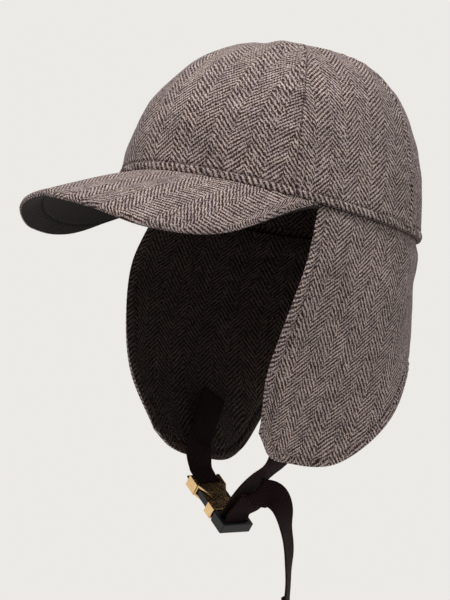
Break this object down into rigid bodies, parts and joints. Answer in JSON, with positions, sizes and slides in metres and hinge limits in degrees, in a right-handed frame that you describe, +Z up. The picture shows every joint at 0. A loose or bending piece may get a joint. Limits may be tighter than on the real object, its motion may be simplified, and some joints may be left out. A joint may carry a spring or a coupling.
{
  "type": "peaked winter cap with ear flaps and chin strap",
  "caption": "Herringbone wool cap with a curved peak, hanging ear and neck flaps and a buckled chin strap, shown as worn.",
  "frame": {"origin": "middle of the crown's opening, where the cap sits on a head", "axes": "+Z up as worn, -Y towards the front of the peak, +X towards the wearer's left"},
  "size_m": [0.1832, 0.2804, 0.3577],
  "materials": {
    "crown_front": "brushed herringbone wool tweed",
    "crown_side_left": "brushed herringbone wool tweed",
    "crown_side_right": "brushed herringbone wool tweed",
    "crown_back_left": "brushed herringbone wool tweed",
    "crown_back_right": "brushed herringbone wool tweed",
    "crown_button": "brushed herringbone wool tweed",
    "peak_top": "brushed herringbone wool tweed",
    "peak_underside": "charcoal twill",
    "flap_left": "brushed herringbone wool tweed",
    "flap_right": "brushed herringbone wool tweed",
    "chin_strap_right": "woven webbing",
    "chin_strap_left": "woven webbing",
    "buckle_socket": "polished gold",
    "buckle_plug": "semi-gloss"
  },
  "bodies": {
    "root": {"crown_front": "crown_front", "crown_side_left": "crown_side_left", "crown_side_right": "crown_side_right", "crown_back_left": "crown_back_left", "crown_back_right": "crown_back_right", "crown_button": "crown_button", "peak_top": "peak_top", "peak_underside": "peak_underside", "flap_left": "flap_left", "flap_right": "flap_right", "chin_strap_right": "chin_strap_right", "chin_strap_left": "chin_strap_left", "buckle_socket": "buckle_socket", "buckle_plug": "buckle_plug"}
  },
  "joints": []
}
